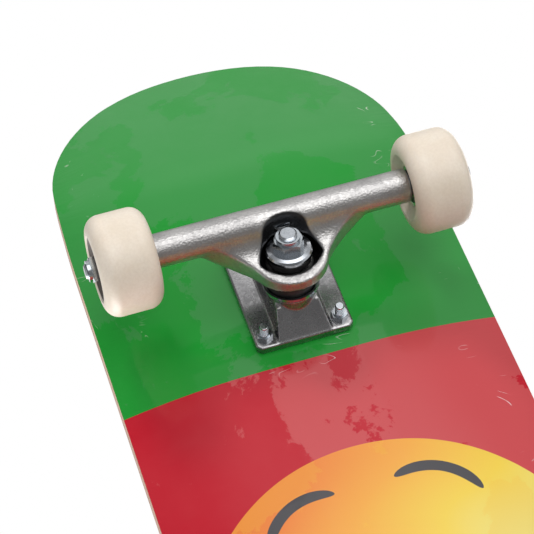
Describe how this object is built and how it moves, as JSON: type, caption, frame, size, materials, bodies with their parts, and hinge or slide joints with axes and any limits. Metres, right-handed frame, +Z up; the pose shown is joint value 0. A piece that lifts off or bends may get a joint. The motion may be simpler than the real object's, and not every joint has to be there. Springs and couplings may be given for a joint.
{
  "type": "skateboard",
  "caption": "Kicked laminated deck on sprung kingpin trucks that steer when it leans, rolling on urethane wheels with open ball bearings.",
  "frame": {"origin": "on the ground under the middle of the deck", "axes": "+X to the nose, +Y to the rider's left, +Z up, standing on its wheels"},
  "size_m": [0.7998, 0.2066, 0.1242],
  "materials": {
    "printed_face_veneer": "green, red and yellow print under a clear gloss film",
    "maple_veneer": "bare pressed maple",
    "stained_top_veneer": "red-stained maple",
    "grip_tape": "black silicon carbide grit",
    "zinc_plated_steel": "bright zinc",
    "cup_washer_steel": "bright zinc",
    "baseplate_casting": "tumbled aluminium",
    "hanger_casting": "shot-blasted aluminium with a fine sparkle",
    "pivot_cup_urethane": "black urethane",
    "bushing_rubber": "black urethane",
    "axle_steel": "bright steel",
    "bearing_steel": "ground steel",
    "bearing_shield": "black rubber on steel",
    "cage_nylon": "natural nylon",
    "wheel_urethane": "cream urethane, satin"
  },
  "bodies": {
    "deck": {"deck_ply_1": "printed_face_veneer", "deck_ply_2": "maple_veneer", "deck_ply_3": "maple_veneer", "deck_ply_4": "maple_veneer", "deck_ply_5": "maple_veneer", "deck_ply_6": "maple_veneer", "deck_ply_7": "stained_top_veneer", "grip_tape": "grip_tape", "nose_deck_screws": "zinc_plated_steel", "nose_deck_nuts": "zinc_plated_steel", "nose_baseplate": "baseplate_casting", "nose_pivot_cup": "pivot_cup_urethane", "nose_kingpin": "zinc_plated_steel", "nose_kingpin_nut": "zinc_plated_steel", "nose_lower_cup_washer": "cup_washer_steel", "nose_upper_cup_washer": "cup_washer_steel", "nose_lower_bushing": "bushing_rubber", "nose_upper_bushing": "bushing_rubber", "tail_deck_screws": "zinc_plated_steel", "tail_deck_nuts": "zinc_plated_steel", "tail_baseplate": "baseplate_casting", "tail_pivot_cup": "pivot_cup_urethane", "tail_kingpin": "zinc_plated_steel", "tail_kingpin_nut": "zinc_plated_steel", "tail_lower_cup_washer": "cup_washer_steel", "tail_upper_cup_washer": "cup_washer_steel", "tail_lower_bushing": "bushing_rubber", "tail_upper_bushing": "bushing_rubber"},
    "nose_truck": {"nose_hanger": "hanger_casting", "nose_axle": "axle_steel", "nose_axle_nuts": "zinc_plated_steel", "nose_speed_washers": "cup_washer_steel", "nose_bearing_inner_races": "bearing_steel", "nose_bearing_spacers": "axle_steel"},
    "nose_left_wheel": {"nose_left_wheel": "wheel_urethane", "nose_left_bearing_outer_races": "bearing_steel", "nose_left_bearing_shields": "bearing_shield"},
    "nose_left_ball_sets": {"nose_left_bearing_balls": "bearing_steel", "nose_left_ball_cages": "cage_nylon"},
    "nose_right_wheel": {"nose_right_wheel": "wheel_urethane", "nose_right_bearing_outer_races": "bearing_steel", "nose_right_bearing_shields": "bearing_shield"},
    "nose_right_ball_sets": {"nose_right_bearing_balls": "bearing_steel", "nose_right_ball_cages": "cage_nylon"},
    "tail_truck": {"tail_hanger": "hanger_casting", "tail_axle": "axle_steel", "tail_axle_nuts": "zinc_plated_steel", "tail_speed_washers": "cup_washer_steel", "tail_bearing_inner_races": "bearing_steel", "tail_bearing_spacers": "axle_steel"},
    "tail_left_wheel": {"tail_left_wheel": "wheel_urethane", "tail_left_bearing_outer_races": "bearing_steel", "tail_left_bearing_shields": "bearing_shield"},
    "tail_left_ball_sets": {"tail_left_bearing_balls": "bearing_steel", "tail_left_ball_cages": "cage_nylon"},
    "tail_right_wheel": {"tail_right_wheel": "wheel_urethane", "tail_right_bearing_outer_races": "bearing_steel", "tail_right_bearing_shields": "bearing_shield"},
    "tail_right_ball_sets": {"tail_right_bearing_balls": "bearing_steel", "tail_right_ball_cages": "cage_nylon"}
  },
  "joints": [
    {"name": "nose_steer", "type": "hinge", "parent": "deck", "child": "nose_truck", "pos_m": [0.234, 0, 0.0595], "axis": [0.8757, 0, 0.4829], "range_deg": [-14, 14], "stiffness_Nm_per_rad": 60, "deforming": ["nose_lower_bushing", "nose_upper_bushing"]},
    {"name": "nose_left_wheel_spin", "type": "hinge", "parent": "nose_truck", "child": "nose_left_wheel", "pos_m": [0.217, 0.0829, 0.0265], "axis": [0, 1, 0], "continuous": true},
    {"name": "nose_left_ball_set_spin", "type": "hinge", "parent": "nose_truck", "child": "nose_left_ball_sets", "pos_m": [0.217, 0.0829, 0.0265], "axis": [0, 1, 0], "continuous": true},
    {"name": "nose_right_wheel_spin", "type": "hinge", "parent": "nose_truck", "child": "nose_right_wheel", "pos_m": [0.217, -0.0829, 0.0265], "axis": [0, 1, 0], "continuous": true},
    {"name": "nose_right_ball_set_spin", "type": "hinge", "parent": "nose_truck", "child": "nose_right_ball_sets", "pos_m": [0.217, -0.0829, 0.0265], "axis": [0, 1, 0], "continuous": true},
    {"name": "tail_steer", "type": "hinge", "parent": "deck", "child": "tail_truck", "pos_m": [-0.234, 0, 0.0595], "axis": [-0.8757, 0, 0.4829], "range_deg": [-14, 14], "stiffness_Nm_per_rad": 60, "deforming": ["tail_lower_bushing", "tail_upper_bushing"]},
    {"name": "tail_left_wheel_spin", "type": "hinge", "parent": "tail_truck", "child": "tail_left_wheel", "pos_m": [-0.217, 0.0829, 0.0265], "axis": [0, 1, 0], "continuous": true},
    {"name": "tail_left_ball_set_spin", "type": "hinge", "parent": "tail_truck", "child": "tail_left_ball_sets", "pos_m": [-0.217, 0.0829, 0.0265], "axis": [0, 1, 0], "continuous": true},
    {"name": "tail_right_wheel_spin", "type": "hinge", "parent": "tail_truck", "child": "tail_right_wheel", "pos_m": [-0.217, -0.0829, 0.0265], "axis": [0, 1, 0], "continuous": true},
    {"name": "tail_right_ball_set_spin", "type": "hinge", "parent": "tail_truck", "child": "tail_right_ball_sets", "pos_m": [-0.217, -0.0829, 0.0265], "axis": [0, 1, 0], "continuous": true}
  ],
  "couplings": [
    {"joint": "nose_left_ball_set_spin", "follows": "nose_left_wheel_spin", "ratio": 0.6323},
    {"joint": "nose_right_ball_set_spin", "follows": "nose_right_wheel_spin", "ratio": 0.6323},
    {"joint": "tail_left_ball_set_spin", "follows": "tail_left_wheel_spin", "ratio": 0.6323},
    {"joint": "tail_right_ball_set_spin", "follows": "tail_right_wheel_spin", "ratio": 0.6323}
  ]
}
